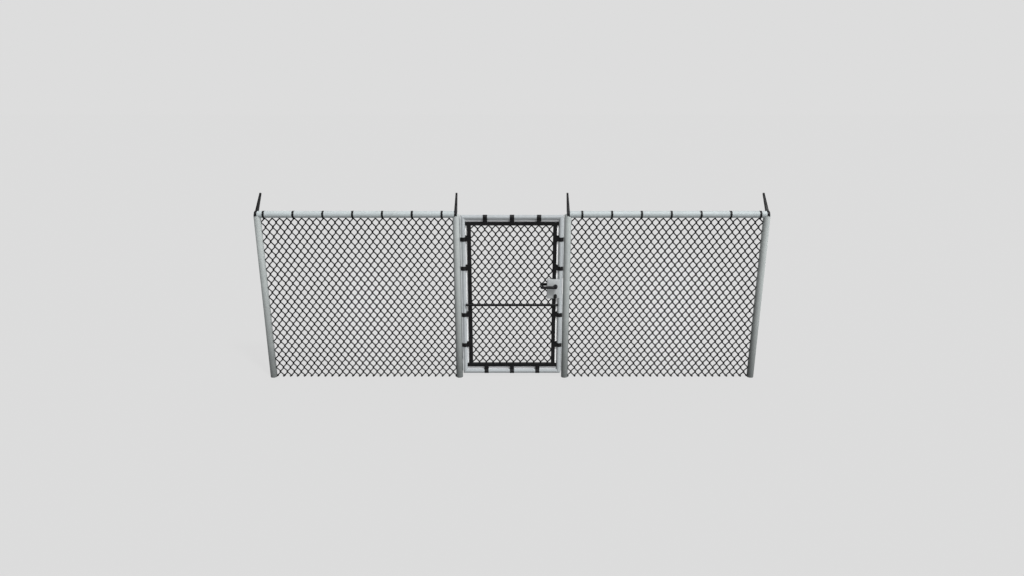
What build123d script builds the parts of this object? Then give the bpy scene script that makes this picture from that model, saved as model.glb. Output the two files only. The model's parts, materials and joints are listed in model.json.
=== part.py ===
from build123d import *
import math
import os

os.makedirs("parts", exist_ok=True)

# A chain-link walk gate with its two posts and the fence bay on each side.
# The origin is the centre of the hinge post's foot. X runs along the fence
# to the latch post, Y runs away from the front and Z is up. All in mm.

# Fence line
bay_length = 2060
gate_bay = 1160
post_height = 1820
post_od = 73
post_wall = 3
post_cap = 4
rail_od = 71
rail_wall = 3

# Arms on the post tops
arm_foot = 28
arm_disc_od = 76
arm_base_od = 27
arm_tip_od = 13
arm_rise = 197.5
arm_reach = 188
arm_notch = 6
arm_notch_share = (0.45, 0.68, 0.9)
end_arm_offset = 7
inner_arm_offset = 3.5

# Rail ties
tie_count = 7
tie_spacing = 307.3
tie_shift = -37.6
tie_width = 21
tie_thickness = 2.5
tie_tail = 11

# Chain-link mesh
wire = 10
cell_width = 76.5
cell_height = 101.6
mesh_foot = 12
bay_columns_a_piece = 17

# Gate frame and its inner strips
frame_od = 48.3
frame_wall = 2.5
gate_gap = 5.8
frame_top = 1790.8
frame_bottom = 69.4
strip_thickness = 4

# Black infill bars
bar_width = 40
bar_height = 38
bar_depth = 30
bar_wall = 2
bar_inset = 62.5
top_bar_drop = 65.8
bottom_bar_rise = 76.1
middle_bar_od = 26
middle_bar_height = 843
gate_cell_width = 74.8
gate_cell_height = 99.3
gate_row_rise = 63
gate_column_start = 16

# Bands round the gate frame
band_thickness = 2
band_width = 45
band_tail = 8
band_step = 280
band_heights = (381, 727, 1245, 1559)
lug_start = 22.5
lug_height = 20

# Lock
case_height = 216
case_depth = 60
case_reach = 139
case_cover = 6
case_bottom = 915
case_corner = 6
lock_backset = 50
lever_height = 1050
lever_od = 26
lever_length = 138
lever_standoff = 35
lever_bend = 16
lever_return = 9
hub_od = 30
rose_od = 48
rose_thickness = 7
spindle_od = 10
cylinder_height = 949
cover_length = 50
cover_width = 35
cover_thickness = 8
key_barrel_od = 17
key_web = 10
key_drop = 22
key_proud = 3
keyway = (2.4, 8, 3)
bolt_height = 1004
bolt_tall = 28
bolt_thick = 12
bolt_inside = 30
keep_margin = 4

# Hinges at the back of the gate
hinge_y = 36
hinge_heights = (240, 1650)
barrel_od = 20
barrel_length = 40
pin_od = 12
pin_proud = 4
leaf_thickness = 5
leaf_overhang = 14

# Clearances
seat = 0.3
running = 0.05
barrel_gap = 0.5
bolt_gap = 0.4

# Lines worked out from the sizes above
post_r = post_od / 2
rail_r = rail_od / 2
frame_r = frame_od / 2
disc_r = arm_disc_od / 2
latch_x = gate_bay
end_left_x = -bay_length
end_right_x = gate_bay + bay_length
stile_offset = post_r + gate_gap + band_thickness + seat + frame_r
hinge_stile_x = stile_offset
latch_stile_x = gate_bay - stile_offset
gate_middle_x = gate_bay / 2
hinge_bar_x = hinge_stile_x + bar_inset
latch_bar_x = latch_stile_x - bar_inset
top_bar_z = frame_top - top_bar_drop
bottom_bar_z = frame_bottom + bottom_bar_rise
hinge_x = (post_r + hinge_stile_x - frame_r) / 2
lock_x = latch_stile_x - lock_backset
case_x0 = latch_stile_x - case_reach
case_x1 = latch_stile_x - case_cover
case_top = case_bottom + case_height

nodes = {}


def box(x0, x1, y0, y1, z0, z1):
    """A block between two corners."""
    size = (x1 - x0, y1 - y0, z1 - z0)
    middle = ((x0 + x1) / 2, (y0 + y1) / 2, (z0 + z1) / 2)
    return Pos(*middle) * Box(*size)


def rod(od, start, direction, length):
    """A round bar from a point, along a direction."""
    return Solid.make_cylinder(od / 2, length, Plane(origin=start, z_dir=direction))


def pipe(od, wall, start, direction, length):
    """A hollow round tube from a point, along a direction."""
    bore = rod(od - 2 * wall, start, direction, length)
    return rod(od, start, direction, length) - bore


def mirrored(shape):
    """The same piece on the other side of the gate's middle."""
    return shape.mirror(Plane.YZ.offset(gate_middle_x))


def group(pieces):
    """Like pieces that share one node."""
    return Compound(children=pieces)


# Posts, top rails and arms


def disc_start(post_x):
    """Left face of an arm's round foot on a post of the left bay."""
    offset = end_arm_offset if post_x == end_left_x else inner_arm_offset
    return post_x - offset - arm_foot / 2


def post(post_x):
    """A capped tube whose top is cut out for the rail end and the arm's foot."""
    tube = rod(post_od, (post_x, 0, 0), (0, 0, 1), post_height)
    bore = rod(post_od - 2 * post_wall, (post_x, 0, 0), (0, 0, 1), post_height - post_cap)
    x = disc_start(post_x)
    disc_seat = rod(arm_disc_od + 2 * seat, (x - seat, 0, post_height), (1, 0, 0), arm_foot + 2 * seat)
    if post_x == end_left_x:
        rail_seat = rod(rail_od + 2 * seat, (x, 0, post_height), (1, 0, 0), 2 * post_od)
    else:
        rail_seat = rod(rail_od + 2 * seat, (x, 0, post_height), (-1, 0, 0), 2 * post_od)
    return tube - bore - disc_seat - rail_seat


def arm(post_x):
    """A tapered round arm that leans back from a round foot, with three wire notches."""
    x = disc_start(post_x)
    foot = rod(arm_disc_od, (x, 0, post_height), (1, 0, 0), arm_foot)
    tip_r = arm_tip_od / 2
    base = Vector(x + arm_foot / 2, 0, post_height)
    tip = base + Vector(0, arm_reach - tip_r, arm_rise - tip_r)
    along = (tip - base).normalized()
    length = (tip - base).length
    taper = Solid.make_cone(arm_base_od / 2, tip_r, length, Plane(origin=base, x_dir=(1, 0, 0), z_dir=along))
    shape = foot + taper + Pos(*tip) * Sphere(tip_r)
    front = Vector(0, -along.Z, along.Y)
    for share in arm_notch_share:
        half = (arm_base_od + share * (arm_tip_od - arm_base_od)) / 2
        middle = base + along * (length * share) + front * half
        shape -= rod(arm_notch, middle - Vector(arm_foot, 0, 0), (1, 0, 0), 2 * arm_foot)
    return shape


rail_start = disc_start(end_left_x) + arm_foot + seat
rail_end = disc_start(0) - seat
left_rail = pipe(rail_od, rail_wall, (rail_start, 0, post_height), (1, 0, 0), rail_end - rail_start)

nodes["left_end_post"] = post(end_left_x)
nodes["hinge_post"] = post(0)
nodes["left_top_rail"] = left_rail
nodes["left_end_arm"] = arm(end_left_x)
nodes["hinge_post_arm"] = arm(0)
keep_slot = box(
    latch_x - post_od,
    latch_x,
    -bolt_thick / 2 - keep_margin,
    bolt_thick / 2 + keep_margin,
    bolt_height - bolt_tall / 2 - keep_margin,
    bolt_height + bolt_tall / 2 + keep_margin,
)
nodes["latch_post"] = mirrored(nodes["hinge_post"]) - keep_slot
nodes["right_end_post"] = mirrored(nodes["left_end_post"])
nodes["right_top_rail"] = mirrored(left_rail)
nodes["latch_post_arm"] = mirrored(nodes["hinge_post_arm"])
nodes["right_end_arm"] = mirrored(nodes["left_end_arm"])


# Rail ties


def rail_tie(x):
    """A band over the top rail whose two tails hold the mesh between them."""
    inner = rail_r + seat
    band = Circle(inner + tie_thickness)
    tail_y = wire + seat + tie_thickness / 2
    tail_top = inner - tie_thickness
    tail_end = inner + tie_thickness + tie_tail
    for side in (-1, 1):
        tail_place = Pos(side * tail_y, -(tail_top + tail_end) / 2)
        band += tail_place * Rectangle(tie_thickness, tail_end - tail_top)
    band -= Circle(inner) + Pos(0, -tail_end / 2) * Rectangle(2 * (wire + seat), tail_end)
    plane = Plane(origin=(x - tie_width / 2, 0, post_height), x_dir=(0, 1, 0), z_dir=(1, 0, 0))
    return extrude(plane * band, tie_width)


ties_middle = tie_shift - bay_length / 2
tie_places = [ties_middle + (k - (tie_count - 1) / 2) * tie_spacing for k in range(tie_count)]
left_ties = [rail_tie(x) for x in tie_places]
nodes["left_rail_ties"] = group(left_ties)
nodes["right_rail_ties"] = group([mirrored(tie) for tie in left_ties])


# Chain-link mesh


def mesh_piece(x0, x1, z0, z1, edge_x, row_z, cell_w, cell_h):
    """A flat net of crossing bars, with diamonds on every second grid place."""
    half_w = cell_w / 2
    half_h = cell_h / 2
    to_side = half_w * half_h / math.hypot(half_w, half_h)
    shrink = 1 - wire / 2 / to_side
    open_w = half_w * shrink
    open_h = half_h * shrink
    inside = []
    cut = []
    first_column = math.floor((x0 - edge_x) / half_w) - 1
    last_column = math.ceil((x1 - edge_x) / half_w) + 1
    first_row = math.floor((z0 - row_z) / half_h) - 1
    last_row = math.ceil((z1 - row_z) / half_h) + 1
    for i in range(first_column, last_column + 1):
        for j in range(first_row, last_row + 1):
            x = edge_x + i * half_w
            z = row_z + j * half_h
            outside = x + open_w <= x0 or x - open_w >= x1 or z + open_h <= z0 or z - open_h >= z1
            if (i + j) % 2 or outside:
                continue
            corners = [(x + open_w, z), (x, z + open_h), (x - open_w, z), (x, z - open_h)]
            whole = x - open_w > x0 and x + open_w < x1 and z - open_h > z0 and z + open_h < z1
            if whole:
                inside.append(Wire.make_polygon(corners))
            else:
                cut.append(Face(Wire.make_polygon(corners)))
    border = Wire.make_polygon([(x0, z0), (x1, z0), (x1, z1), (x0, z1)])
    net = Sketch() + Face(border, inside) - cut
    net = net.faces().sort_by(SortBy.AREA)[-1]
    plane = Plane(origin=(0, wire / 2, 0), x_dir=(1, 0, 0), z_dir=(0, -1, 0))
    return extrude(plane * net, wire)


mesh_left = end_left_x + post_r + seat
mesh_right = -post_r - seat
mesh_top = post_height - rail_r - seat
column_step = bay_columns_a_piece * cell_width / 2
mesh_cuts = [mesh_left, mesh_left + column_step, mesh_left + 2 * column_step, mesh_right]
for k, place in enumerate(("outer", "middle", "inner")):
    piece = mesh_piece(
        mesh_cuts[k],
        mesh_cuts[k + 1],
        mesh_foot,
        mesh_top,
        mesh_left,
        mesh_foot + cell_height / 2,
        cell_width,
        cell_height,
    )
    nodes[f"left_mesh_{place}"] = piece
    nodes[f"right_mesh_{place}"] = mirrored(piece)


# Gate frame of four mitred tubes


def frame_tube(start, end):
    """One side of the frame, cut at 45 degrees at both corners."""
    start = Vector(*start)
    end = Vector(*end)
    along = (end - start).normalized()
    tube = pipe(frame_od, frame_wall, start - along * frame_od, along, (end - start).length + 2 * frame_od)
    middle = Vector(gate_middle_x, 0, (frame_top + frame_bottom) / 2)
    for corner, outward in ((start, along * -1), (end, along)):
        inward = middle - (start + end) * 0.5
        mitre = Plane(origin=corner, z_dir=outward + inward.normalized())
        tube = split(tube, bisect_by=mitre, keep=Keep.BOTTOM)
    return tube


corner_names = {
    "gate_bottom_rail": ((hinge_stile_x, 0, frame_bottom), (latch_stile_x, 0, frame_bottom)),
    "latch_stile": ((latch_stile_x, 0, frame_bottom), (latch_stile_x, 0, frame_top)),
    "gate_top_rail": ((latch_stile_x, 0, frame_top), (hinge_stile_x, 0, frame_top)),
    "hinge_stile": ((hinge_stile_x, 0, frame_top), (hinge_stile_x, 0, frame_bottom)),
}
for name, (start, end) in corner_names.items():
    nodes[name] = frame_tube(start, end)

bolt_hole = box(
    latch_stile_x - frame_od,
    latch_stile_x + frame_od,
    -bolt_thick / 2 - bolt_gap,
    bolt_thick / 2 + bolt_gap,
    bolt_height - bolt_tall / 2 - bolt_gap,
    bolt_height + bolt_tall / 2 + bolt_gap,
)
nodes["latch_stile"] = nodes["latch_stile"] - bolt_hole


# Black bars and the strips between them and the frame


def hollow_bar(x0, x1, z0, z1, along_x):
    """A black box-section bar, open at its two ends."""
    outer = box(x0, x1, -bar_depth / 2, bar_depth / 2, z0, z1)
    inner_y = bar_depth / 2 - bar_wall
    if along_x:
        return outer - box(x0, x1, -inner_y, inner_y, z0 + bar_wall, z1 - bar_wall)
    return outer - box(x0 + bar_wall, x1 - bar_wall, -inner_y, inner_y, z0, z1)


frame_x0 = hinge_stile_x + frame_r + seat
frame_x1 = latch_stile_x - frame_r - seat
frame_z0 = frame_bottom + frame_r + seat
frame_z1 = frame_top - frame_r - seat
top_bar_z0 = top_bar_z - bar_height / 2
top_bar_z1 = top_bar_z + bar_height / 2
bottom_bar_z0 = bottom_bar_z - bar_height / 2
bottom_bar_z1 = bottom_bar_z + bar_height / 2
side_z0 = bottom_bar_z1 + seat
side_z1 = top_bar_z0 - seat
lock_gap = ((side_z0, case_bottom - seat), (case_top + seat, side_z1))

nodes["top_mesh_bar"] = hollow_bar(frame_x0, frame_x1, top_bar_z0, top_bar_z1, True)
nodes["bottom_mesh_bar"] = hollow_bar(frame_x0, frame_x1, bottom_bar_z0, bottom_bar_z1, True)
hinge_bar_x0 = hinge_bar_x - bar_width / 2
hinge_bar_x1 = hinge_bar_x + bar_width / 2
latch_bar_x0 = latch_bar_x - bar_width / 2
latch_bar_x1 = latch_bar_x + bar_width / 2
nodes["hinge_side_mesh_bar"] = hollow_bar(hinge_bar_x0, hinge_bar_x1, side_z0, side_z1, False)
latch_bars = [hollow_bar(latch_bar_x0, latch_bar_x1, z0, z1, False) for z0, z1 in lock_gap]
nodes["latch_side_mesh_bar"] = group(latch_bars)

strip_y = strip_thickness / 2
nodes["top_frame_strip"] = box(frame_x0, frame_x1, -strip_y, strip_y, top_bar_z1 + seat, frame_z1)
nodes["bottom_frame_strip"] = box(frame_x0, frame_x1, -strip_y, strip_y, frame_z0, bottom_bar_z0 - seat)
nodes["hinge_side_frame_strip"] = box(frame_x0, hinge_bar_x0 - seat, -strip_y, strip_y, side_z0, side_z1)
latch_strips = [box(latch_bar_x1 + seat, frame_x1, -strip_y, strip_y, z0, z1) for z0, z1 in lock_gap]
nodes["latch_side_frame_strip"] = group(latch_strips)

middle_bar_y = -(bar_depth / 2 + seat + middle_bar_od / 2)
frame_side = math.sqrt(frame_r**2 - (bar_depth / 2 + seat) ** 2)
middle_x0 = hinge_stile_x + frame_side + seat
middle_x1 = latch_stile_x - frame_side - seat
middle_start = (middle_x0, middle_bar_y, middle_bar_height)
nodes["middle_bar"] = rod(middle_bar_od, middle_start, (1, 0, 0), middle_x1 - middle_x0)

gate_mesh = mesh_piece(
    hinge_bar_x1 + seat,
    latch_bar_x0 - seat,
    side_z0,
    side_z1,
    hinge_bar_x + gate_column_start,
    bottom_bar_z1 + gate_row_rise,
    gate_cell_width,
    gate_cell_height,
)
lock_notch = box(case_x0 - seat, latch_bar_x1, -wire, wire, case_bottom - seat, case_top + seat)
nodes["gate_mesh"] = (gate_mesh - lock_notch).solids().sort_by(SortBy.VOLUME)[-1]


# Bands that hold the bars to the frame


def band(place, plane_x, plane_z, to_bar):
    """A band round the outer side of a frame tube, with two ears on the bar's faces."""
    inner = frame_r + seat
    ear_end = to_bar + band_tail
    ear_y = bar_depth / 2 + seat
    ring = Circle(inner + band_thickness)
    ring += Pos(ear_end / 2, 0) * Rectangle(ear_end, 2 * (ear_y + band_thickness))
    ring -= Pos(ear_end / 2, 0) * Rectangle(ear_end, 2 * ear_y)
    ring -= Circle(inner)
    plane = Plane(origin=place, x_dir=plane_x, z_dir=plane_z)
    return extrude(plane * ring, band_width / 2, both=True)


def side_band(z):
    """A band of the hinge stile, with a lug that stands up on each ear beside the bar."""
    piece = band((hinge_stile_x, 0, z), (1, 0, 0), (0, 0, 1), bar_inset)
    x0 = hinge_stile_x + lug_start
    x1 = hinge_bar_x0
    ear_y = bar_depth / 2 + seat
    top = z + band_width / 2 + lug_height
    for side in (-1, 1):
        near, far = sorted((side * ear_y, side * (ear_y + band_thickness)))
        piece += box(x0, x1, near, far, z, top)
    return piece


side_bands = [side_band(z) for z in band_heights]
nodes["hinge_side_bands"] = group(side_bands)
nodes["latch_side_bands"] = group([mirrored(piece) for piece in side_bands])
band_places = [gate_middle_x + k * band_step for k in (-1, 0, 1)]
top_bands = [band((x, 0, frame_top), (0, 0, -1), (1, 0, 0), top_bar_drop) for x in band_places]
bottom_bands = [band((x, 0, frame_bottom), (0, 0, 1), (1, 0, 0), bottom_bar_rise) for x in band_places]
nodes["top_bands"] = group(top_bands)
nodes["bottom_bands"] = group(bottom_bands)


# Lock with a lever on each side


def key_outline(gap):
    """Outline of the key cylinder, or with a gap of the hole that it sits in."""
    barrel = Circle(key_barrel_od / 2 + gap)
    foot_r = key_web / 2 + gap
    web = Pos(0, -key_drop / 2) * Rectangle(2 * foot_r, key_drop)
    foot = Pos(0, -key_drop) * Circle(foot_r)
    return barrel + web + foot


def front_plane(x, y, z):
    """A plane that faces the front, with X to the right and Z up."""
    return Plane(origin=(x, y, z), x_dir=(1, 0, 0), z_dir=(0, -1, 0))


case = box(case_x0, case_x1, -case_depth / 2, case_depth / 2, case_bottom, case_top)
case = fillet(case.edges().filter_by(Axis.Y).group_by(Axis.X)[0], case_corner)
stile_cut = rod(frame_od + 2 * seat, (latch_stile_x, 0, case_bottom), (0, 0, 1), case_height)
spindle_hole = rod(spindle_od + 2 * running, (lock_x, -case_depth / 2, lever_height), (0, 1, 0), case_depth)
cylinder_plane = front_plane(lock_x, case_depth / 2, cylinder_height)
cylinder_hole = extrude(cylinder_plane * key_outline(seat), case_depth)
bolt_start = latch_stile_x - frame_r - bolt_inside
bolt_end = latch_stile_x + math.sqrt(frame_r**2 - bolt_thick**2 / 4)
bolt_pocket = box(
    bolt_start - seat,
    latch_stile_x,
    -bolt_thick / 2 - bolt_gap,
    bolt_thick / 2 + bolt_gap,
    bolt_height - bolt_tall / 2 - bolt_gap,
    bolt_height + bolt_tall / 2 + bolt_gap,
)
nodes["lock_case"] = case - stile_cut - spindle_hole - cylinder_hole - bolt_pocket
nodes["latch_bolt"] = box(
    bolt_start,
    bolt_end,
    -bolt_thick / 2,
    bolt_thick / 2,
    bolt_height - bolt_tall / 2,
    bolt_height + bolt_tall / 2,
)


def lever(with_spindle):
    """A round lever that turns towards the hinge side, in front of the case."""
    face = -case_depth / 2
    grip_y = face - lever_standoff
    hub = rod(hub_od, (lock_x, face - seat, lever_height), (0, -1, 0), lever_standoff)
    hub = fillet(hub.edges().sort_by(Axis.Y)[0], hub_od / 8)
    tip_x = lock_x - lever_length
    points = [
        (lock_x, grip_y, lever_height),
        (tip_x, grip_y, lever_height),
        (tip_x, grip_y + lever_bend + lever_return, lever_height),
    ]
    path = FilletPolyline(*points, radius=lever_bend)
    section = Plane(origin=path @ 0, z_dir=path % 0) * Circle(lever_od / 2)
    handle = hub + sweep(section, path=path)
    spindle_plane = (lock_x, face - lever_standoff / 2, lever_height)
    if with_spindle:
        length = case_depth + lever_standoff
        return handle + rod(spindle_od, spindle_plane, (0, 1, 0), length)
    end = rod(spindle_od + 2 * running, (lock_x, face, lever_height), (0, -1, 0), lever_standoff / 2 + seat)
    return (handle - end).mirror(Plane.XZ)


nodes["front_lever"] = lever(True)
nodes["back_lever"] = lever(False)


def rose():
    """A round plate behind the lever's hub."""
    plane = front_plane(lock_x, -case_depth / 2, lever_height)
    ring = extrude(plane * (Circle(rose_od / 2) - Circle(hub_od / 2 + seat)), rose_thickness)
    return chamfer(ring.edges().group_by(Axis.Y)[0].sort_by(SortBy.RADIUS)[-1], rose_thickness / 4)


def cylinder_cover():
    """An oval plate round the key cylinder."""
    plane = front_plane(lock_x, -case_depth / 2, cylinder_height - key_drop / 3)
    oval = Rot(0, 0, 90) * SlotOverall(cover_length, cover_width)
    hole = Pos(0, key_drop / 3) * key_outline(seat)
    return extrude(plane * (oval - hole), cover_thickness)


def both_sides(shape):
    """A piece on the front of the case and its twin on the back."""
    return group([shape, shape.mirror(Plane.XZ)])


nodes["lever_roses"] = both_sides(rose())
nodes["cylinder_covers"] = both_sides(cylinder_cover())
cylinder_half = case_depth / 2 + cover_thickness + key_proud
cylinder_start = front_plane(lock_x, cylinder_half, cylinder_height)
key_cylinder = extrude(cylinder_start * key_outline(0), 2 * cylinder_half)
slot_width, slot_height, slot_depth = keyway
for side in (-1, 1):
    end_y = side * cylinder_half
    slot_place = Pos(lock_x, end_y, cylinder_height)
    key_cylinder -= slot_place * Box(slot_width, 2 * slot_depth, slot_height)
nodes["key_cylinder"] = key_cylinder


# Hinges with a lower barrel and pin on the post, and an upper barrel on the gate


def post_hinge(z):
    """Lower barrel with its pin, and the leaf on the back of the post."""
    barrel = rod(barrel_od, (hinge_x, hinge_y, z - barrel_length), (0, 0, 1), barrel_length)
    pin = rod(pin_od, (hinge_x, hinge_y, z - barrel_length), (0, 0, 1), 2 * barrel_length + barrel_gap + pin_proud)
    leaf_y = post_r + seat
    leaf = box(-leaf_overhang, hinge_x, leaf_y, leaf_y + leaf_thickness, z - barrel_length, z)
    return barrel + pin + leaf


def gate_hinge(z):
    """Upper barrel, and the leaf on the back of the hinge stile."""
    bottom = z + barrel_gap
    barrel = rod(barrel_od, (hinge_x, hinge_y, bottom), (0, 0, 1), barrel_length)
    leaf_y = frame_r + seat
    leaf_end = hinge_stile_x + leaf_overhang
    leaf = box(hinge_x, leaf_end, leaf_y, leaf_y + leaf_thickness, bottom, bottom + barrel_length)
    bore = rod(pin_od + 2 * running, (hinge_x, hinge_y, bottom), (0, 0, 1), barrel_length)
    return barrel + leaf - bore


nodes["post_hinge_halves"] = group([post_hinge(z) for z in hinge_heights])
nodes["gate_hinge_halves"] = group([gate_hinge(z) for z in hinge_heights])

for name, shape in nodes.items():
    export_step(shape, f"parts/{name}.step")
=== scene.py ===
import json
import math

import bmesh
import bpy
from mathutils import Matrix, Vector


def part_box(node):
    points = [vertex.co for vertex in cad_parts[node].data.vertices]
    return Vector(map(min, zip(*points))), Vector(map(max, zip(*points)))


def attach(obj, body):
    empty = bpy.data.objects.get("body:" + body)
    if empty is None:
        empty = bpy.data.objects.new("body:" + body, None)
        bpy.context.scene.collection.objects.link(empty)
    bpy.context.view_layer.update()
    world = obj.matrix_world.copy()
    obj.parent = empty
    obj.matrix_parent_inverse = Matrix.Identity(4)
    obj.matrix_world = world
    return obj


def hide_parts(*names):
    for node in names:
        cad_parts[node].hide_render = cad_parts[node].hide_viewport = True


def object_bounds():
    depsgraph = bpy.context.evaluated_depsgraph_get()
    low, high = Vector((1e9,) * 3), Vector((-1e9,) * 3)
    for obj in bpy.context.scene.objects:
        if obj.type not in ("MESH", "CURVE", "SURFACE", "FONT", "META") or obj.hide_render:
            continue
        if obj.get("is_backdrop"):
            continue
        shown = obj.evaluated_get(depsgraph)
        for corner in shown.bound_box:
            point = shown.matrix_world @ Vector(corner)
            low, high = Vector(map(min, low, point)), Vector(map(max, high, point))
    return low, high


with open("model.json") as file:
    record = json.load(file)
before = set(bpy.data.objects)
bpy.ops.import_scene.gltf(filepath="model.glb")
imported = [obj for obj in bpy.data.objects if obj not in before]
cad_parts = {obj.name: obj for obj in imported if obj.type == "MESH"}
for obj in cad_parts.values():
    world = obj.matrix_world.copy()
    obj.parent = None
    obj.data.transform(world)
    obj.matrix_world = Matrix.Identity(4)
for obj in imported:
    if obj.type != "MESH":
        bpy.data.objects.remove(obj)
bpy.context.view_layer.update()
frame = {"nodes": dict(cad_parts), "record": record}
nodes = frame["nodes"]

# A chain-link walk gate between two fence bays. All sizes are in metres.

# Woven mesh: the wire, the width and height of a diamond, and where the nets start and end
WIRE = 0.0131
BAY_CELL = (0.0765, 0.1016)
GATE_CELL = (0.0748, 0.0993)
GATE_COLUMN = 0.1465
GATE_ROW = 0.2223
GATE_ROWS_BELOW = 1.5
BAY_DROP = 0.005
CUT_INSIDE = 0.0015

# Bends of a wire at a knot and at its tip: sideways, across the net in half wires, and up
BEND_SIDE, BEND_HEIGHT = 0.0042, 0.0085
BENDS_TO_KNOT = ((-0.45 * BEND_SIDE, -1.0, -BEND_HEIGHT), (BEND_SIDE, -0.7, -0.4 * BEND_HEIGHT))
BENDS_FROM_KNOT = ((BEND_SIDE, 0.7, 0.4 * BEND_HEIGHT), (-0.45 * BEND_SIDE, 1.0, BEND_HEIGHT))
BENDS_AT_TIP = ((-0.009, -1.5, 0.010), (-0.006, -1.5, 0.002), (-0.001, -1.2, -0.0005))

# Arms on the post tops: their tip is given as back and up from the middle of the foot
ARM_FOOT_OD, ARM_FOOT_ROUNDING = 0.076, 0.003
ARM_START, ARM_TIP = 0.034, (0.1829, 0.1927)
ARM_WIDTH, ARM_DEPTH, ARM_TAPER, ARM_EDGE = 0.032, 0.0265, 0.61, 0.002
ARM_NOTCHES = (0.37, 0.64, 0.89)
NOTCH_HALF, NOTCH_DEPTH = 0.003, 0.0045

# Levers: the grip, the leg at its tip, the hub and the neck under it
SPINDLE_HEIGHT = 1.050
GRIP_RADIUS, GRIP_ROUNDING, GRIP_DROP = 0.0155, 0.009, 0.0025
GRIP_PAST_TIP, GRIP_PAST_HUB = 0.004, 0.006
LEG_RADIUS, LEG_ROUNDING, LEG_INSET, LEG_END = 0.012, 0.004, 0.0025, 0.040
HUB_RADIUS, HUB_ROUNDING, HUB_OFF_ROSE = 0.0172, 0.004, 0.0005
NECK_RADIUS, NECK_ROUNDING, NECK_START, NECK_OFF_CASE = 0.0146, 0.001, 0.05, 0.0002

# Lock case
CASE_ROUNDING, CASE_TOP_DROP = 0.0075, 0.006

# Bolts: the washer's width and the head's height are shares of the bolt's size
WASHER_SIDES, WASHER_WIDTH, WASHER_THICK, WASHER_EDGE = 20, 1.15, 0.0015, 0.0004
HEAD_SIDES, HEAD_HEIGHT, HEAD_EDGE = 6, 0.62, 0.0008
BOLT_SUNK = 0.0005

# Bands on the gate's side tubes, and the bolts on their lugs
STILE_X = (0.06875, 1.09125)
SIDE_BAND_Z = (0.381, 0.727, 1.245, 1.559)
LUG_BOLT_OUT, LUG_BOLT_UP, LUG_BOLT_SIZE = 0.0325, 0.032, 0.0072
LUG_FACES = (-0.0173, 0.0173)

# Hinges, and the bolts on their two leaves: columns, rise from the hinge, face and size
HINGE_Z = (0.240, 1.650)
POST_LEAF = ((-0.005, 0.016), -0.020, 0.0418, 0.006)
GATE_LEAF = ((0.060, 0.074), 0.0205, 0.02945, 0.0055)

# Strips beside the gate, narrower at the hinge barrels and open at the lock, and the band tails on them
STRIP_Y, STRIP_EDGE = (-0.0165, -0.0135), 0.0008
STRIP_FOOT, STRIP_TOP = 0.08, 1.795
HINGE_STRIP_X, BARREL_STRIP_X, LATCH_STRIP_X = (0.0375, 0.052), (0.0405, 0.052), (1.108, 1.1212)
BARREL_BELOW, BARREL_ABOVE = 0.045, 0.055
LOCK_CLEAR = (0.96, 1.14)
TAIL_X, TAIL_Y = ((0.0385, 0.054), (1.106, 1.1205)), (-0.0195, -0.0128)
TAIL_HALF_HEIGHT, TAIL_EDGE = 0.0215, 0.001

# How the shapes are made: sides of a round bar, the angle of a sharp edge, and what counts as level
BAR_SIDES = 36
SHARP_ANGLE = 35
LEVEL = 1e-5

# Light of the room, from below, above, the left and the right, and the pale floor and backdrop
SKY_LOW, SKY_HIGH = 0.46, 0.52
SIDE_LEFT, SIDE_RIGHT = 0.68, 1.28
PALE = 0.723
FLOOR_SIZE = 60

# Camera: how steeply it looks down, and its lens
VIEW_SLOPE = 0.3
FRAME_HALF_ANGLE = 22.5
LENS, SENSOR, FAR_END = 24.44, 36, 200


# Shapes


def finished(name, bm, body, material, smooth=True):
    """A mesh as an object of the scene, on its body and with its finish."""
    bmesh.ops.recalc_face_normals(bm, faces=bm.faces)
    mesh = bpy.data.meshes.new(name)
    bm.to_mesh(mesh)
    bm.free()
    piece = bpy.data.objects.new(name, mesh)
    bpy.context.scene.collection.objects.link(piece)
    mesh.materials.append(material)
    mesh.shade_smooth()
    if not smooth:
        mesh.set_sharp_from_angle(angle=math.radians(SHARP_ANGLE))
    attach(piece, body)
    return piece


def cut(bm, place, across, clear=False):
    """Cuts a mesh along a plane, clears what lies past it if asked, and gives the cut's edges."""
    everything = bm.verts[:] + bm.edges[:] + bm.faces[:]
    made = bmesh.ops.bisect_plane(
        bm,
        geom=everything,
        plane_co=place,
        plane_no=across,
        clear_outer=clear,
    )
    return [item for item in made["geom_cut"] if isinstance(item, bmesh.types.BMEdge)]


def trim(bm, place, outwards):
    """Cuts away what lies past a plane, and closes the cut wires."""
    bmesh.ops.holes_fill(bm, edges=cut(bm, place, outwards, clear=True), sides=0)


def notch(bm, x0, z0, z1):
    """Takes the wires out behind a box at the right-hand edge of the net, and closes them."""
    cut(bm, (x0, 0, 0), (1, 0, 0))
    cut(bm, (0, 0, z0), (0, 0, 1))
    cut(bm, (0, 0, z1), (0, 0, 1))
    behind = []
    for face in bm.faces:
        middle = face.calc_center_median()
        if middle.x > x0 and z0 < middle.z < z1:
            behind.append(face)
    bmesh.ops.delete(bm, geom=behind, context="FACES")
    ends = [edge for edge in bm.edges if edge.is_boundary]
    bmesh.ops.holes_fill(bm, edges=ends, sides=0)


def edges_of(made):
    """The edges of a shape that an operator has just made, each one once."""
    return list(dict.fromkeys(edge for vert in made["verts"] for edge in vert.link_edges))


def soften(bm, edges, width, segments):
    """Bevels edges to a rounded rim."""
    bmesh.ops.bevel(
        bm,
        geom=edges,
        offset=width,
        offset_type="OFFSET",
        segments=segments,
        profile=0.5,
        affect="EDGES",
        material=-1,
    )


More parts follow.
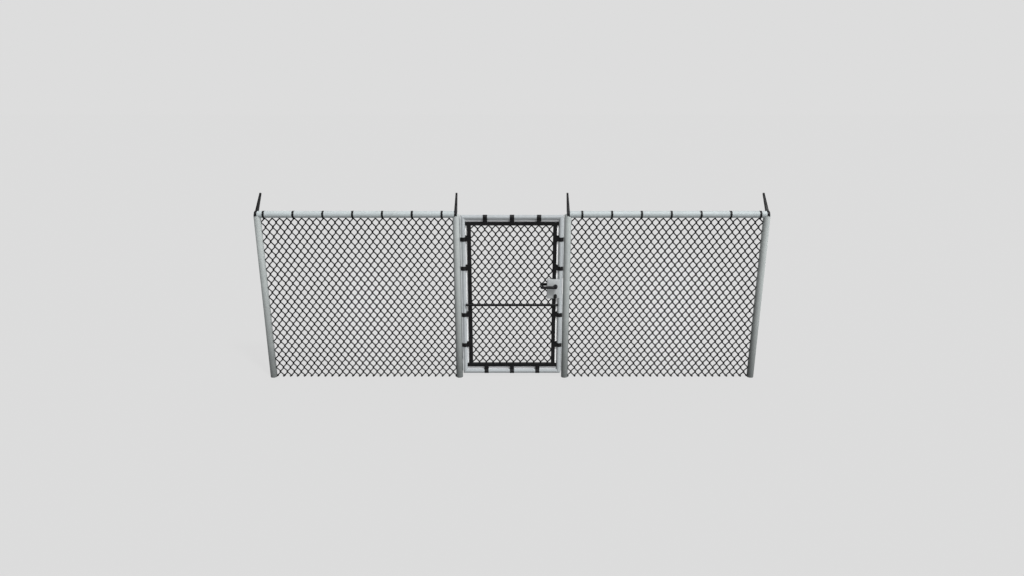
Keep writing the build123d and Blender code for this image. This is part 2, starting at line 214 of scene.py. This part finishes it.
def picket(column, rows, edge_x, side, cell, foot):
    """Points of one bent wire that weaves between two neighbouring columns of knots."""
    half_w, half_h = cell[0] / 2, cell[1] / 2
    points = []
    for row in range(rows + 1):
        on_near_column = (column + row) % 2 == 0
        turn = -1 if on_near_column else 1
        x = edge_x + side * half_w * (column if on_near_column else column + 1)
        z = foot + half_h * row
        first_bends = BENDS_TO_KNOT if row else BENDS_AT_TIP
        for aside, across, rise in first_bends + BENDS_FROM_KNOT:
            points.append((x + side * turn * aside, turn * across * WIRE / 2, z + rise))
    return points


def woven_net(name, opening, edge_x, side, cell, foot):
    """Bent wires hooked into each other, trimmed to the opening that they fill."""
    x0, x1, z0, z1 = opening
    columns = math.ceil((x1 - x0) / (cell[0] / 2)) + 1
    rows = math.ceil((z1 - foot) / (cell[1] / 2)) + 1
    curve = bpy.data.curves.new(name, "CURVE")
    curve.dimensions = "3D"
    curve.bevel_depth = WIRE / 2
    curve.bevel_resolution = 2
    curve.use_fill_caps = True
    for column in range(columns):
        points = picket(column, rows, edge_x, side, cell, foot)
        wire = curve.splines.new("POLY")
        wire.points.add(len(points) - 1)
        for point, place in zip(wire.points, points):
            point.co = (*place, 1)
    source = bpy.data.objects.new(name, curve)
    bm = bmesh.new()
    bm.from_mesh(bpy.data.meshes.new_from_object(source))
    bpy.data.objects.remove(source)
    trim(bm, (x0, 0, 0), (-1, 0, 0))
    trim(bm, (x1, 0, 0), (1, 0, 0))
    trim(bm, (0, 0, z0), (0, 0, -1))
    trim(bm, (0, 0, z1), (0, 0, 1))
    return bm


def plug(bm, sides, radius, front_y, back_y, x, z, edge_width):
    """A round or six-sided plug along Y with its front rim bevelled."""
    turn = Matrix.Rotation(math.radians(90), 4, "X")
    made = bmesh.ops.create_cone(
        bm,
        cap_ends=True,
        segments=sides,
        radius1=radius,
        radius2=radius,
        depth=abs(back_y - front_y),
        matrix=Matrix.Translation((x, (front_y + back_y) / 2, z)) @ turn,
    )
    rim = []
    for edge in edges_of(made):
        if all(abs(vert.co.y - front_y) < LEVEL for vert in edge.verts):
            rim.append(edge)
    soften(bm, rim, edge_width, 2)


def bolt(bm, x, z, face_y, size):
    """A washer and a six-sided head on a face that looks to the front or the back."""
    out = 1 if face_y > 0 else -1
    washer_y = face_y + out * WASHER_THICK
    head_y = washer_y + out * size * HEAD_HEIGHT
    plug(bm, WASHER_SIDES, size * WASHER_WIDTH, washer_y, face_y - out * BOLT_SUNK, x, z, WASHER_EDGE)
    plug(bm, HEAD_SIDES, size, head_y, washer_y - out * BOLT_SUNK, x, z, HEAD_EDGE)


def round_bar(bm, start, end, radius, rounding):
    """A round bar between two points with rounded rims."""
    start, end = Vector(start), Vector(end)
    along = (end - start).normalized()
    turn = along.to_track_quat("Z", "Y").to_matrix().to_4x4()
    made = bmesh.ops.create_cone(
        bm,
        cap_ends=True,
        segments=BAR_SIDES,
        radius1=radius,
        radius2=radius,
        depth=(end - start).length,
        matrix=Matrix.Translation((start + end) / 2) @ turn,
    )
    rims = []
    for edge in edges_of(made):
        if abs((edge.verts[1].co - edge.verts[0].co).dot(along)) < LEVEL:
            rims.append(edge)
    soften(bm, rims, rounding, 4)


def flat_bar(bm, x, y, z, edge_width, segments=2):
    """A flat bar between two places on each axis, with softened edges."""
    size = Matrix.Diagonal((x[1] - x[0], y[1] - y[0], z[1] - z[0], 1))
    middle = Matrix.Translation(((x[0] + x[1]) / 2, (y[0] + y[1]) / 2, (z[0] + z[1]) / 2))
    made = bmesh.ops.create_cube(bm, size=1, matrix=middle @ size)
    soften(bm, edges_of(made), edge_width, segments)


# Tools for the finishes


def blank(name):
    """A new material, its shader and the coordinates of the piece."""
    made = bpy.data.materials.new(name)
    made.use_nodes = True
    tree = made.node_tree
    place = tree.nodes.new("ShaderNodeTexCoord").outputs["Object"]
    return made, tree, tree.nodes["Principled BSDF"], place


def shaded(tone, share, lift=0.0):
    """A colour made lighter or darker."""
    return tuple(value * share + lift for value in tone)


def noise(tree, place, scale, detail=3.0, stretch=None):
    """A cloudy pattern from 0 to 1."""
    if stretch:
        mapping = tree.nodes.new("ShaderNodeMapping")
        mapping.inputs["Scale"].default_value = stretch
        tree.links.new(place, mapping.inputs["Vector"])
        place = mapping.outputs["Vector"]
    node = tree.nodes.new("ShaderNodeTexNoise")
    node.inputs["Scale"].default_value = scale
    node.inputs["Detail"].default_value = detail
    tree.links.new(place, node.inputs["Vector"])
    return node.outputs["Fac"]


def ramp(tree, factor, stops):
    """Colours along a factor."""
    node = tree.nodes.new("ShaderNodeValToRGB")
    first, last = node.color_ramp.elements
    first.position, first.color = stops[0][0], (*stops[0][1], 1)
    last.position, last.color = stops[-1][0], (*stops[-1][1], 1)
    for position, colour in stops[1:-1]:
        node.color_ramp.elements.new(position).color = (*colour, 1)
    tree.links.new(factor, node.inputs["Fac"])
    return node.outputs["Color"]


def mix(tree, factor, first, second, way="MIX"):
    """Two colours mixed, by a pattern or by a fixed share."""
    node = tree.nodes.new("ShaderNodeMix")
    node.data_type = "RGBA"
    node.blend_type = way
    if isinstance(factor, float):
        node.inputs["Factor"].default_value = factor
    else:
        tree.links.new(factor, node.inputs["Factor"])
    colours = [socket for socket in node.inputs if socket.type == "RGBA"]
    for socket, value in zip(colours, (first, second)):
        if isinstance(value, tuple):
            socket.default_value = (*value, 1)
        else:
            tree.links.new(value, socket)
    return [socket for socket in node.outputs if socket.type == "RGBA"][0]


def spread(tree, value, low, high, from_low=0.3, from_high=0.7):
    """A pattern brought to a range of values."""
    node = tree.nodes.new("ShaderNodeMapRange")
    node.inputs["From Min"].default_value = from_low
    node.inputs["From Max"].default_value = from_high
    node.inputs["To Min"].default_value = low
    node.inputs["To Max"].default_value = high
    tree.links.new(value, node.inputs["Value"])
    return node.outputs["Result"]


def bump(tree, shader, height, distance, strength):
    """Fine relief on a surface."""
    node = tree.nodes.new("ShaderNodeBump")
    node.inputs["Strength"].default_value = strength
    node.inputs["Distance"].default_value = distance
    tree.links.new(height, node.inputs["Height"])
    tree.links.new(node.outputs["Normal"], shader.inputs["Normal"])


# Zinc and black coats


def crystals(tree, place):
    """The fine crystal pattern of hot-dip zinc, as a grey close to the middle."""
    cells = tree.nodes.new("ShaderNodeTexVoronoi")
    cells.inputs["Scale"].default_value = 95.0
    tree.links.new(place, cells.inputs["Vector"])
    grey = tree.nodes.new("ShaderNodeRGBToBW")
    tree.links.new(cells.outputs["Color"], grey.inputs["Color"])
    return ramp(tree, grey.outputs["Val"], [(0.0, (0.42, 0.42, 0.43)), (1.0, (0.58, 0.58, 0.57))])


def foot_darkening(tree, place):
    """Colour that darkens towards the foot of a post and clears with the height, with a soft edge."""
    height = tree.nodes.new("ShaderNodeSeparateXYZ")
    tree.links.new(place, height.inputs["Vector"])
    drift = noise(tree, place, scale=9.0, detail=4.0)
    level = tree.nodes.new("ShaderNodeMath")
    level.operation = "MULTIPLY_ADD"
    tree.links.new(drift, level.inputs[0])
    level.inputs[1].default_value = 0.12
    tree.links.new(height.outputs["Z"], level.inputs[2])
    share = spread(tree, level.outputs["Value"], 0.0, 1.0, from_low=0.06, from_high=1.66)
    shades = [(0.0, 0.30), (0.1, 0.39), (0.25, 0.55), (0.45, 0.72), (0.7, 0.87), (1.0, 1.0)]
    return ramp(tree, share, [(at, (value, value, value * 0.985)) for at, value in shades])


def zinc(name, tone, foot=False, roughness=(0.5, 0.64), metallic=0.08):
    """Dull hot-dip zinc: cloudy grey with fine crystals, pale runs and dark specks."""
    made, tree, shader, place = blank(name)
    dark, light = shaded(tone, 0.94), shaded(tone, 1.05)
    bloom = tuple(min(1.0, value) for value in shaded(tone, 1.45))
    clouds = noise(tree, place, scale=5.0, detail=5.0)
    colour = ramp(tree, clouds, [(0.3, dark), (0.7, light)])
    colour = mix(tree, 0.55, colour, crystals(tree, place), "OVERLAY")
    runs = noise(tree, place, scale=1.0, detail=4.0, stretch=(55.0, 55.0, 3.0))
    colour = mix(tree, spread(tree, runs, 0.0, 0.16, from_low=0.55, from_high=0.8), colour, bloom)
    specks = noise(tree, place, scale=140.0, detail=2.0)
    colour = mix(tree, spread(tree, specks, 0.0, 0.7, from_low=0.66, from_high=0.74), colour, dark)
    # Posts only: the colour darkens towards the foot
    if foot:
        colour = mix(tree, 1.0, colour, foot_darkening(tree, place), "MULTIPLY")
    tree.links.new(colour, shader.inputs["Base Color"])
    shader.inputs["Metallic"].default_value = metallic
    shader.inputs["Specular IOR Level"].default_value = 0.2
    rough = spread(tree, noise(tree, place, scale=30.0), *roughness)
    tree.links.new(rough, shader.inputs["Roughness"])
    bump(tree, shader, noise(tree, place, scale=420.0, detail=4.0), 0.0004, 0.35)
    return made


def black_coat(name, tone, grain, relief, roughness):
    """Black coat with an orange-peel skin, dusty clouds and thin dust on what faces up."""
    made, tree, shader, place = blank(name)
    dusty = shaded(tone, 1.8, lift=0.002)
    clouds = noise(tree, place, scale=14.0, detail=5.0)
    colour = ramp(tree, clouds, [(0.35, tone), (0.75, dusty)])
    surface = tree.nodes.new("ShaderNodeNewGeometry")
    up = tree.nodes.new("ShaderNodeSeparateXYZ")
    tree.links.new(surface.outputs["Normal"], up.inputs["Vector"])
    dust = spread(tree, up.outputs["Z"], 0.0, 0.3, from_low=0.5, from_high=1.0)
    colour = mix(tree, dust, colour, shaded(tone, 2.0, lift=0.004))
    tree.links.new(colour, shader.inputs["Base Color"])
    shader.inputs["Specular IOR Level"].default_value = 0.16
    rough = spread(tree, noise(tree, place, scale=60.0), *roughness)
    tree.links.new(rough, shader.inputs["Roughness"])
    bump(tree, shader, noise(tree, place, scale=grain, detail=2.0), relief, 0.4)
    return made


post_zinc = zinc("zinc_on_posts", (0.378, 0.405, 0.406), foot=True)
rail_zinc = zinc("zinc_on_rails", (0.36, 0.394, 0.4))
frame_zinc = zinc("zinc_on_gate_frame", (0.365, 0.388, 0.4))
# A darker copy of the gate frame's zinc for its top and bottom tubes: painted shade that tones down the
# strong light on their tops
cross_tube_painted_shade_zinc = zinc("zinc_painted_shade_on_cross_tubes", (0.315, 0.336, 0.347))
# A paler zinc for the gap strips than for the posts and frame: painted light that offsets the shade
# between post and side tube
gap_strip_painted_light_zinc = zinc("zinc_painted_light_on_gap_strips", (0.42, 0.44, 0.45))
# The frame strips are paler than the frame's zinc and come as a lit and a dimmer copy of one finish:
# painted light, near white on the side strips and less pale on the top and bottom strips
side_strip_lit_copy_zinc = zinc("zinc_lit_copy_on_side_strips", (0.96, 0.965, 0.97), metallic=0.0)
cross_strip_dim_copy_zinc = zinc("zinc_dim_copy_on_cross_strips", (0.62, 0.63, 0.65), metallic=0.0)
lock_zinc = zinc("zinc_on_lock_case", (0.365, 0.38, 0.385), roughness=(0.45, 0.55))
bolt_zinc = zinc("zinc_on_bolts", (0.42, 0.43, 0.44), roughness=(0.3, 0.45))
steel_black = black_coat("black_powder_coat", (0.0035, 0.0035, 0.004), 900.0, 0.0003, (0.42, 0.58))
wire_black = black_coat("black_wire_coat", (0.006, 0.006, 0.0062), 500.0, 0.0002, (0.4, 0.55))
key_black = black_coat("black_key_metal", (0.010, 0.0095, 0.009), 1500.0, 0.0001, (0.25, 0.4))


# Finishes on the drawn parts: by slot, with the gate frame's top and bottom tubes and its strips on
# their own, in tones that paint light and shade

slot_finish = {
    "posts": post_zinc,
    "rails": rail_zinc,
    "gate_frame": frame_zinc,
    "lock_case": lock_zinc,
    "mesh": wire_black,
    "black_steel": steel_black,
    "key_metal": key_black,
}
own_finish = {
    "hinge_side_frame_strip": side_strip_lit_copy_zinc,
    "latch_side_frame_strip": side_strip_lit_copy_zinc,
    "top_frame_strip": cross_strip_dim_copy_zinc,
    "bottom_frame_strip": cross_strip_dim_copy_zinc,
    "gate_top_rail": cross_tube_painted_shade_zinc,
    "gate_bottom_rail": cross_tube_painted_shade_zinc,
}
for part in frame["record"]["subparts"]:
    name = part["node"]
    for place in nodes[name].material_slots:
        place.material = own_finish.get(name, slot_finish[part["material_slot"]])


# Woven mesh in the two bays and in the gate


def bay_net(side_name, left_post, right_post, side):
    """The net of one bay, with its columns counted from its end post along X or back."""
    name = f"{side_name}_bay_mesh"
    low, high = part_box(f"{side_name}_mesh_outer")
    edge_x = low.x if side > 0 else high.x
    x0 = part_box(left_post)[1].x - CUT_INSIDE
    x1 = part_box(right_post)[0].x + CUT_INSIDE
    opening = (x0, x1, 0.0, high.z + CUT_INSIDE)
    net = woven_net(name, opening, edge_x, side, BAY_CELL, low.z - BAY_DROP)
    piece = finished(name, net, "fence", wire_black)
    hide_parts(f"{side_name}_mesh_outer", f"{side_name}_mesh_middle", f"{side_name}_mesh_inner")


def gate_net():
    """The net of the gate, a little past its bars, and open behind the lock case."""
    low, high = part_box("gate_mesh")
    case_low, case_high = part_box("lock_case")
    opening = (low.x - CUT_INSIDE, high.x + CUT_INSIDE, low.z - CUT_INSIDE, high.z + CUT_INSIDE)
    foot = GATE_ROW - GATE_CELL[1] * GATE_ROWS_BELOW
    net = woven_net("woven_gate_mesh", opening, GATE_COLUMN, 1, GATE_CELL, foot)
    notch(net, case_low.x + CUT_INSIDE, case_low.z + CUT_INSIDE, case_high.z - CUT_INSIDE)
    piece = finished("woven_gate_mesh", net, "gate", wire_black)
    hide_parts("gate_mesh")


bay_net("left", "left_end_post", "hinge_post", 1)
bay_net("right", "latch_post", "right_end_post", -1)
gate_net()


# Arms: a round foot and a square bar that tapers towards its tip


def arm_bar():
    """A tapered square bar with softened edges and three wire notches in its front, leant back."""
    length = math.hypot(*ARM_TIP) - ARM_START
    size = Matrix.Diagonal((ARM_WIDTH, ARM_DEPTH, length, 1))
    corner = math.sqrt(0.5)
    bm = bmesh.new()
    bmesh.ops.create_cone(
        bm,
        cap_ends=True,
        segments=4,
        radius1=corner,
        radius2=corner * ARM_TAPER,
        depth=1,
        matrix=Matrix.Translation((0, 0, length / 2)) @ size @ Matrix.Rotation(math.radians(45), 4, "Z"),
    )
    soften(bm, bm.edges[:], ARM_EDGE, 2)
    for share in ARM_NOTCHES:
        middle = share * length
        for z in (middle - NOTCH_HALF, middle, middle + NOTCH_HALF):
            cut(bm, (0, 0, z), (0, 0, 1))
        front = [vert for vert in bm.verts if abs(vert.co.z - middle) < LEVEL and vert.co.y < 0]
        bmesh.ops.translate(bm, verts=front, vec=(0, NOTCH_DEPTH, 0))
    along = Matrix.Translation((0, 0, ARM_START))
    lean = Matrix.Rotation(-math.atan2(*ARM_TIP), 4, "X")
    bmesh.ops.transform(bm, matrix=lean @ along, verts=bm.verts)
    return bm


def arm(node, post):
    """One arm with its foot, at the place of the drawn arm."""
    low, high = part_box(node)
    half = (high.x - low.x) / 2
    bm = arm_bar()
    round_bar(bm, (-half, 0, 0), (half, 0, 0), ARM_FOOT_OD / 2, ARM_FOOT_ROUNDING)
    bmesh.ops.translate(bm, verts=bm.verts, vec=(low.x + half, 0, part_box(post)[1].z))
    piece = finished(f"square_{node}", bm, "fence", steel_black, smooth=False)
    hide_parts(node)


arm("left_end_arm", "left_end_post")
arm("hinge_post_arm", "hinge_post")
arm("latch_post_arm", "latch_post")
arm("right_end_arm", "right_end_post")


# Levers and lock case


def lever(node):
    """A thick round lever with a short leg back towards the gate at its tip."""
    low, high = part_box(node)
    rose_low, rose_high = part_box("lever_roses")
    out = -1 if abs(low.y) > abs(high.y) else 1
    face = max(abs(low.y), abs(high.y))
    grip_y, grip_z = out * (face - GRIP_RADIUS), SPINDLE_HEIGHT - GRIP_DROP
    leg_x = low.x + LEG_INSET
    hub_x, hub_z = (rose_low.x + rose_high.x) / 2, SPINDLE_HEIGHT
    hub_end = rose_high.y + HUB_OFF_ROSE
    neck_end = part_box("lock_case")[1].y + NECK_OFF_CASE
    grip = (low.x - GRIP_PAST_TIP, grip_y, grip_z), (hub_x + GRIP_PAST_HUB, grip_y, grip_z)
    leg = (leg_x, out * (face - LEG_ROUNDING), grip_z), (leg_x, out * LEG_END, grip_z)
    hub = (hub_x, out * face, hub_z), (hub_x, out * hub_end, hub_z)
    neck = (hub_x, out * NECK_START, hub_z), (hub_x, out * neck_end, hub_z)
    bm = bmesh.new()
    round_bar(bm, *grip, GRIP_RADIUS, GRIP_ROUNDING)
    round_bar(bm, *leg, LEG_RADIUS, LEG_ROUNDING)
    round_bar(bm, *hub, HUB_RADIUS, HUB_ROUNDING)
    round_bar(bm, *neck, NECK_RADIUS, NECK_ROUNDING)
    piece = finished(f"thick_{node}", bm, "levers", steel_black, smooth=False)
    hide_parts(node)


def lock_case():
    """The lock case with rounded edges."""
    low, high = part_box("lock_case")
    case = bmesh.new()
    tall = (low.z, high.z - CASE_TOP_DROP)
    flat_bar(case, (low.x, high.x), (low.y, high.y), tall, CASE_ROUNDING, 4)
    rounded_case = finished("rounded_lock_case", case, "gate", lock_zinc, smooth=False)
    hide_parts("lock_case")


lever("front_lever")
lever("back_lever")
lock_case()


# Bolts on the band lugs and on the hinge leaves


def side_band_bolts(side_name, stile_x, towards):
    """The bolts on the front and the back of the band lugs of one side tube."""
    bolts = bmesh.new()
    for band_z in SIDE_BAND_Z:
        for face_y in LUG_FACES:
            bolt(bolts, stile_x + towards * LUG_BOLT_OUT, band_z + LUG_BOLT_UP, face_y, LUG_BOLT_SIZE)
    finished(f"{side_name}_side_band_bolts", bolts, "gate", steel_black, smooth=False)


def leaf_bolts(name, body, leaf):
    """The bolts on the leaves of both hinges, on the post or on the gate."""
    columns, rise, face_y, size = leaf
    bolts = bmesh.new()
    for hinge_z in HINGE_Z:
        for x in columns:
            bolt(bolts, x, hinge_z + rise, face_y, size)
    finished(name, bolts, body, bolt_zinc, smooth=False)


side_band_bolts("hinge", STILE_X[0], 1)
side_band_bolts("latch", STILE_X[1], -1)
leaf_bolts("post_hinge_bolts", "fence", POST_LEAF)
leaf_bolts("gate_hinge_bolts", "gate", GATE_LEAF)


# Strips that close the gaps beside the gate, and the ends of the bands on them


def side_band_tails():
    """The ends of the side bands, which lap the gap strips."""
    tails = bmesh.new()
    for band_z in SIDE_BAND_Z:
        for x in TAIL_X:
            flat_bar(tails, x, TAIL_Y, (band_z - TAIL_HALF_HEIGHT, band_z + TAIL_HALF_HEIGHT), TAIL_EDGE)
    finished("side_band_tails", tails, "gate", steel_black, smooth=False)


def gap_strips():
    """The strips beside both side tubes of the gate."""
    strips = bmesh.new()
    start = STRIP_FOOT
    for hinge_z in HINGE_Z:
        barrel = (hinge_z - BARREL_BELOW, hinge_z + BARREL_ABOVE)
        flat_bar(strips, HINGE_STRIP_X, STRIP_Y, (start, barrel[0]), STRIP_EDGE)
        flat_bar(strips, BARREL_STRIP_X, STRIP_Y, barrel, STRIP_EDGE)
        start = barrel[1]
    flat_bar(strips, HINGE_STRIP_X, STRIP_Y, (start, STRIP_TOP), STRIP_EDGE)
    flat_bar(strips, LATCH_STRIP_X, STRIP_Y, (STRIP_FOOT, LOCK_CLEAR[0]), STRIP_EDGE)
    flat_bar(strips, LATCH_STRIP_X, STRIP_Y, (LOCK_CLEAR[1], STRIP_TOP), STRIP_EDGE)
    finished("gap_strips", strips, "gate", gap_strip_painted_light_zinc, smooth=False)


side_band_tails()
gap_strips()


# Floor


def pale_floor():
    """A finish that glows as pale as the backdrop and takes a faint shadow."""
    made = bpy.data.materials.new("pale_floor")
    made.use_nodes = True
    tree = made.node_tree
    glow = tree.nodes.new("ShaderNodeEmission")
    glow.inputs["Color"].default_value = (PALE, PALE, PALE, 1)
    matt = tree.nodes.new("ShaderNodeBsdfDiffuse")
    matt.inputs["Color"].default_value = (0.4, 0.4, 0.4, 1)
    both = tree.nodes.new("ShaderNodeMixShader")
    both.inputs["Fac"].default_value = 0.06
    tree.links.new(glow.outputs["Emission"], both.inputs[1])
    tree.links.new(matt.outputs["BSDF"], both.inputs[2])
    tree.links.new(both.outputs["Shader"], tree.nodes["Material Output"].inputs["Surface"])
    return made


floor_mesh = bpy.data.meshes.new("floor")
floor_bm = bmesh.new()
bmesh.ops.create_grid(floor_bm, x_segments=1, y_segments=1, size=FLOOR_SIZE)
floor_bm.to_mesh(floor_mesh)
floor_bm.free()
floor_mesh.materials.append(pale_floor())
floor = bpy.data.objects.new("floor", floor_mesh)
bpy.context.scene.collection.objects.link(floor)
floor.visible_diffuse = False
floor.visible_glossy = False
floor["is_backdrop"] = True


# Light: a soft room that is brighter from above and from the right, and two lamps


def sun(name, towards, strength, spread_degrees):
    """A wide soft lamp that shines from a direction."""
    lamp = bpy.data.lights.new(name, "SUN")
    lamp.energy = strength
    lamp.angle = math.radians(spread_degrees)
    holder = bpy.data.objects.new(name, lamp)
    holder.rotation_euler = Vector(towards).to_track_quat("Z", "Y").to_euler()
    bpy.context.scene.collection.objects.link(holder)


world = bpy.data.worlds.new("studio")
bpy.context.scene.world = world
world.use_nodes = True
sky = world.node_tree
towards = sky.nodes.new("ShaderNodeSeparateXYZ")
sky.links.new(sky.nodes.new("ShaderNodeTexCoord").outputs["Generated"], towards.inputs["Vector"])
from_above = spread(sky, towards.outputs["Z"], SKY_LOW, SKY_HIGH, from_low=-0.15, from_high=0.15)
from_right = spread(sky, towards.outputs["X"], SIDE_LEFT, SIDE_RIGHT, from_low=-0.3, from_high=0.15)
room = sky.nodes.new("ShaderNodeMath")
room.operation = "MULTIPLY"
sky.links.new(from_above, room.inputs[0])
sky.links.new(from_right, room.inputs[1])
behind = spread(sky, towards.outputs["Y"], 0.0, 1.0, from_low=-0.3, from_high=-0.1)
backdrop = sky.nodes.new("ShaderNodeMix")
sky.links.new(behind, backdrop.inputs["Factor"])
sky.links.new(room.outputs["Value"], backdrop.inputs["A"])
backdrop.inputs["B"].default_value = PALE
sky.links.new(backdrop.outputs["Result"], sky.nodes["Background"].inputs["Color"])

sun("key_light", (0.34, -0.44, 0.83), strength=3.5, spread_degrees=7)
sun("front_fill", (0.8, -0.58, 0.12), strength=0.75, spread_degrees=40)


# Camera

scene = bpy.context.scene
scene.view_settings.view_transform = "Standard"
low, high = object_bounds()
middle = (low + high) / 2
radius = (high - low).length / 2
elevation = math.atan(VIEW_SLOPE)
distance = radius / math.sin(math.radians(FRAME_HALF_ANGLE))
camera_data = bpy.data.cameras.new("camera")
camera_data.sensor_width = SENSOR
camera_data.lens = LENS
camera_data.clip_end = FAR_END
camera = bpy.data.objects.new("camera", camera_data)
towards_camera = Vector((0, -math.cos(elevation), math.sin(elevation)))
camera.location = middle + towards_camera * distance
camera.rotation_euler = towards_camera.to_track_quat("Z", "Y").to_euler()
scene.collection.objects.link(camera)
scene.camera = camera
